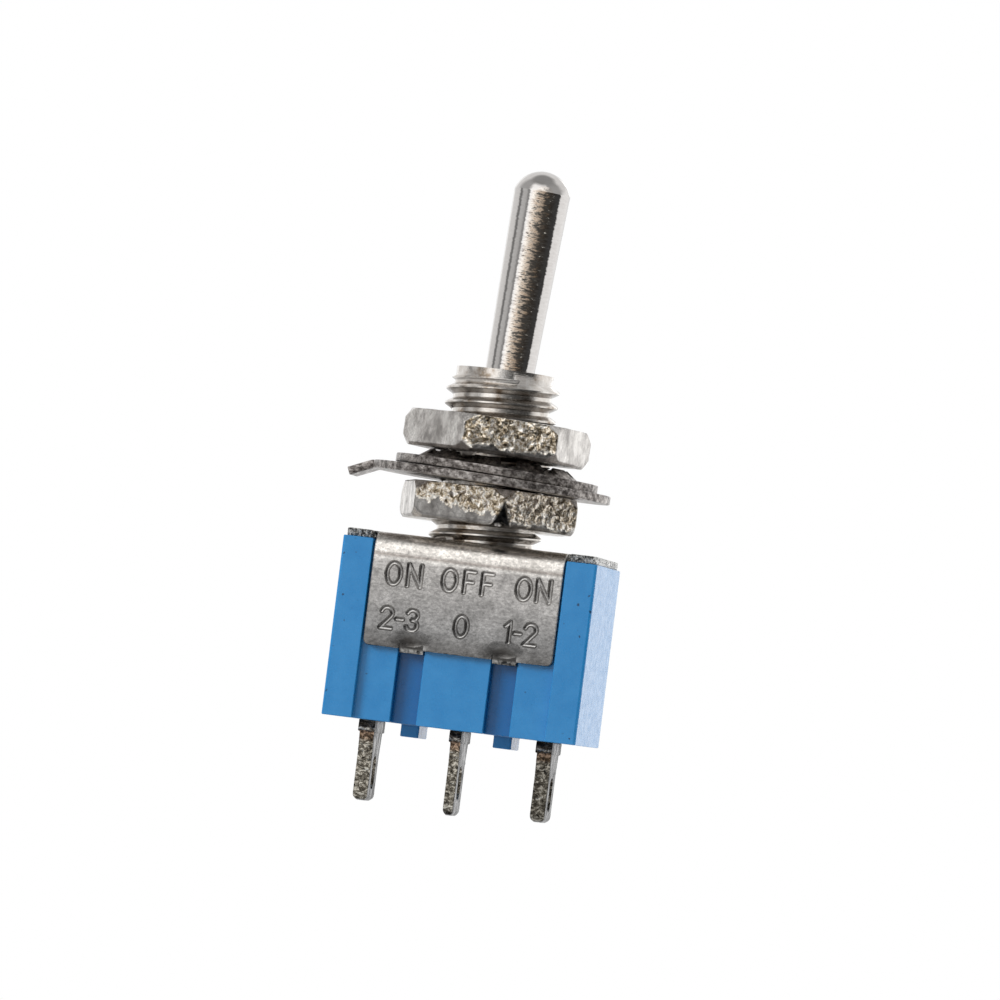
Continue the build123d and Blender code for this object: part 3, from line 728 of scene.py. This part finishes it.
# Each nut's pitted faces: heading in degrees from +X, roughness, and the height and slope of the
# ragged ridge that the pits reach down to
UPPER_NUT_FACES = [(-71, 1.0, 0.45, 0.0), (109, 0.8, 0.4, 0.1)]
LOWER_NUT_FACES = [(-101, 1.0, 0.75, -0.35), (-41, 0.7, 0.2, 0.0), (79, 0.8, 0.4, 0.1)]
LOWER_NUT_NOTCH = -71       # degrees from +X, at the corner between two faces


def turn_from(middle, degrees):
    """Degrees from a middle heading, -180 to 180."""
    return (degrees - middle + 180) % 360 - 180


def crumpled(point, scale, seed):
    """Crumpled scales with sharp ridges, 0 to about 1."""
    return 1 - abs(2 * noise.noise(point * scale + Vector((seed, 0, 0))))


def ragged_line(point, height, seed):
    """Where a ragged line about a height, from the nut's underside, passes a point."""
    ragged = height + 0.30 * noise.noise(point * 2.2 + Vector((seed, 0, 0)))
    return ragged + 0.14 * noise.noise(point * 6.0 + Vector((0, seed, 0)))


def in_notch(apart_degrees, height):
    """How far a point lies inside a worn notch, wide at the nut's underside and closing upwards."""
    across = CORNER_RADIUS * math.radians(abs(apart_degrees)) / NOTCH_HALF_WIDTH
    return NOTCH_MIDDLE - across - height / NOTCH_HEIGHT


def make_nut(node, name, seed, rough_faces, notch=None):
    """A nut with one fine skin of even facets; its flats carry pits down to a ragged ridge."""
    obj = reskinned(node, name, NUT_FACET)
    mesh = obj.data
    points, normals = points_and_normals(mesh)
    bottom = points[:, 2].min()
    outer = np.hypot(points[:, 0], points[:, 1]) > NUT_OUTSIDE
    side = np.clip(1.6 * np.hypot(normals[:, 0], normals[:, 1]) - 0.5, 0, 1) * outer
    heading = np.degrees(np.arctan2(normals[:, 1], normals[:, 0]))
    place = np.degrees(np.arctan2(points[:, 1], points[:, 0]))
    rough = np.full(len(points), SMOOTH)
    ridge_height = np.zeros(len(points))
    for middle, amount, height, slope in rough_faces:
        face = np.abs(turn_from(middle, heading)) < FACE_SPREAD
        rough[face] = amount
        ridge_height[face] = (height + slope * turn_from(middle, place) / HALF_FACE)[face]
    ridge = np.zeros(len(points))
    for index in np.nonzero(outer)[0]:
        point = Vector(points[index])
        scales = crumpled(point, 2.3, seed) * 0.6 + crumpled(point, 5.0, seed + 9) * 0.4
        if ridge_height[index]:
            above = point.z - bottom - ragged_line(point, ridge_height[index], seed)
            # The ridge attribute: a painted highlight along the ragged line, and painted shade just below it
            ridge[index] = max(0.0, 1 - abs(above) / RIDGE_WIDTH) * side[index]
            if above < -RIDGE_WIDTH / 2:
                rough[index], ridge[index] = UNDER_RIDGE, -0.6
        shift = side[index] * rough[index] * PIT_DEPTH * (scales - PIT_LEVEL)
        shift += WAVE * noise.noise(point * 1.2 + Vector((0, seed, 0)))
        if notch is not None:
            cut = in_notch(turn_from(notch, place[index]), point.z - bottom)
            if cut > 0:
                shift -= NOTCH_DEPTH * min(cut, 1.0)
                # Painted shade in the notch
                ridge[index] = -min(4 * cut, 1.0)
        points[index] += normals[index] * shift
    mesh.vertices.foreach_set("co", points.ravel())
    mesh.attributes.new("rough", "FLOAT", "POINT").data.foreach_set("value", rough * side)
    mesh.attributes.new("ridge", "FLOAT", "POINT").data.foreach_set("value", ridge)
    stand_in(obj, node, 60)


# ---------------------------------------------------------------- terminals

LUG_FACET = 0.045
LUG_TOP = -9.6              # just below the housing
TEAR_DEPTH = 0.05
LUG_END = 1.0               # length of a lug's end, whose middle is taken for the rounding
ROUNDING = 0.28             # length over which a lug's end is rounded across its thickness


def make_terminal(node, name, seed):
    """A lug with clean plated faces and torn, sheared edges."""
    obj = reskinned(node, name, LUG_FACET)
    mesh = obj.data
    points, normals = points_and_normals(mesh)
    edge = np.clip(1.8 * np.abs(normals[:, 1]) - 0.6, 0, 1) * (points[:, 2] < LUG_TOP)
    for index in np.nonzero(edge)[0]:
        x, y, z = points[index]
        torn = noise.noise(Vector((3 * x, 0.5 * y, 4 * z + seed)))
        torn += 0.6 * noise.noise(Vector((7 * x, y, 9 * z + seed)))
        points[index] += normals[index] * edge[index] * TEAR_DEPTH * (torn - 0.4)
    tip = points[:, 2].min()
    middle = points[points[:, 2] < tip + LUG_END, 0].mean()
    rounding = np.clip(1 - (points[:, 2] - tip) / ROUNDING, 0, 1)
    points[:, 0] = middle + (points[:, 0] - middle) * (1 - 0.5 * rounding ** 2)
    mesh.vertices.foreach_set("co", points.ravel())
    stand_in(obj, node, 60)


make_bushing()
make_frame()
make_nut("upper_nut", "upper_nut_plated", 1.5, UPPER_NUT_FACES)
make_nut("lower_nut", "lower_nut_plated", 7.5, LOWER_NUT_FACES, LOWER_NUT_NOTCH)
for index, node in enumerate(("terminal_left", "terminal_centre", "terminal_right")):
    make_terminal(node, node + "_plated", 3.1 * index)
for node, name, width, merge in (
    ("housing", "moulded_housing", 0.05, 0.0),
    ("locating_washer", "locating_washer_plated", 0.04, 0.06),
    ("lock_washer", "lock_washer_plated", 0.03, 0.0),
):
    stand_in(bevelled(node, name, width, merge), node, flats=True)


# ---------------------------------------------------------------- stage, light and camera

# What surrounds the switch: a table below, walls, a panel higher up and the ceiling. Stops are
# (degrees to the right of the front, brightness).
TABLE = [
    (-180, 1.1), (-110, 0.60), (-40, 0.50), (0, 0.35), (30, 0.25), (80, 0.30), (120, 0.9),
    (180, 1.1),
]
WALLS = [
    (-180, 0.85), (-160, 0.85), (-154, 1.15), (-146, 1.15), (-138, 0.85), (-95, 0.80),
    (-88, 0.22), (-79, 0.22), (-74, 0.60), (-56, 0.56), (-50, 0.34), (-43, 0.28), (-38, 1.3),
    (-9, 1.3), (3, 0.50), (18, 0.16), (34, 0.05), (90, 0.05), (95, 1.0), (140, 1.05),
    (152, 1.05), (158, 0.85), (163, 0.90), (166, 1.7), (175, 1.7), (178, 0.85), (180, 0.85),
]
PANEL = [
    (-180, 0.85), (-125, 0.85), (-100, 0.45), (-60, 0.45), (-40, 1.3), (26, 1.3), (40, 0.42),
    (100, 0.42), (125, 0.85), (180, 0.85),
]
CEILING = 0.32

# Where one turns into the next: sines of the angle above the horizon
WALLS_TO_TABLE = (-0.10, -0.18)
WALLS_TO_PANEL = (0.38, 0.48)
PANEL_TO_CEILING = (0.80, 0.92)

FLOOR_DROP = 20             # below the lugs, millimetres
FLOOR_HALF = 4.0            # metres
FLOOR_FADE = (0.02, 0.10)   # distance over which the floor turns into the white surround, metres

CAMERA_AZIMUTH = 9.67       # degrees to the right of the front
CAMERA_ELEVATION = -1.75
CAMERA_ROLL = 7.1
CAMERA_DISTANCE = 400       # millimetres, as are the next two
VIEW_WIDTH = 50.94
VIEW_SHIFT = (0.82, 2.30)   # of the point aimed at, across and up in the picture

LAMP_SIZE = 0.10            # metres
LAMP_TARGET = (0, 0, -0.003)


def surround(tree, turn, stops):
    """The glow all round at one height, where turn runs from 0 to 1 over the full circle."""
    return tree.glow(tree.ramp(turn, [((degrees + 180) / 360, grey) for degrees, grey in stops]))


def studio_light(tree, direction):
    """The light from a direction: plain white to the eye, and the surround to all else."""
    x, y, z = tree.split(direction)
    heading = tree.maths("ARCTAN2", x, tree.times(y, -1.0))
    turn = tree.spread(heading, -math.pi, math.pi)
    walls, table = surround(tree, turn, WALLS), surround(tree, turn, TABLE)
    level = tree.mixed(tree.spread(z, *WALLS_TO_TABLE), walls, table)
    level = tree.mixed(tree.spread(z, *WALLS_TO_PANEL), level, surround(tree, turn, PANEL))
    level = tree.mixed(tree.spread(z, *PANEL_TO_CEILING), level, tree.glow(strength=CEILING))
    return tree.mixed(tree.add("LightPath").outputs["Is Camera Ray"], level, tree.glow())


def make_floor():
    """A pale floor below the hanging switch; it fades into the white surround."""
    half, level = FLOOR_HALF, cad_low.z - FLOOR_DROP * MM
    mesh = bpy.data.meshes.new("floor")
    corners = [
        (-half, -half, level), (half, -half, level), (half, half, level), (-half, half, level),
    ]
    mesh.from_pydata(corners, [], [(0, 1, 2, 3)])
    floor = new_object("floor", mesh)
    m = Nodes("floor_white", Roughness=0.9)
    m.colour((0.9, 0.9, 0.9, 1))
    mesh.materials.append(m.material)
    position = m.add("TexCoord").outputs["Object"]
    distance = m.add("VectorMath", {0: position}, operation="LENGTH").outputs["Value"]
    light = studio_light(m, m.vector("NORMALIZE", position))
    surface = m.mixed(m.spread(distance, *FLOOR_FADE), m.shader.outputs["BSDF"], light)
    m.feed(surface, m.tree.nodes["Material Output"].inputs["Surface"])


def make_world():
    """White all round to the eye; what metal mirrors is a studio, pale behind, dark in front."""
    world = bpy.data.worlds.new("studio")
    tree = Tree(world)
    tree.tree.nodes.clear()
    light = studio_light(tree, tree.add("TexCoord").outputs["Generated"])
    tree.feed(light, tree.add("OutputWorld").inputs["Surface"])
    bpy.context.scene.world = world


def make_lamp(name, place, power):
    """A square lamp that metal doesn't mirror: it mirrors the walls and the panel."""
    data = bpy.data.lights.new(name, "AREA")
    data.size = LAMP_SIZE
    data.energy = power
    lamp = new_object(name, data)
    lamp.location = place
    lamp.rotation_euler = (Vector(LAMP_TARGET) - Vector(place)).to_track_quat("-Z", "Y").to_euler()
    lamp.visible_glossy = False


def make_camera():
    """A long lens a little to the right of the front and just under the middle, rolled."""
    azimuth, elevation = math.radians(CAMERA_AZIMUTH), math.radians(CAMERA_ELEVATION)
    distance = CAMERA_DISTANCE * MM
    level = math.cos(elevation)
    back = Vector((math.sin(azimuth) * level, -math.cos(azimuth) * level, math.sin(elevation)))
    roll = Matrix.Rotation(math.radians(CAMERA_ROLL), 3, "Z")
    turn = (-back).to_track_quat("-Z", "Y").to_matrix() @ roll
    target = turn @ Vector((VIEW_SHIFT[0] * MM, VIEW_SHIFT[1] * MM, 0))
    data = bpy.data.cameras.new("camera")
    data.sensor_width = 36
    data.lens = data.sensor_width * CAMERA_DISTANCE / VIEW_WIDTH
    data.clip_start, data.clip_end = 10 * MM, 10
    camera = new_object("camera", data)
    camera.matrix_world = Matrix.Translation(target + back * distance) @ turn.to_4x4()
    bpy.context.scene.camera = camera


make_floor()
make_world()
make_lamp("key", (-0.20, -0.18, 0.10), 0.52)
make_lamp("side", (0.25, 0.03, 0.02), 0.28)
make_camera()
bpy.context.scene.view_settings.view_transform = "Standard"
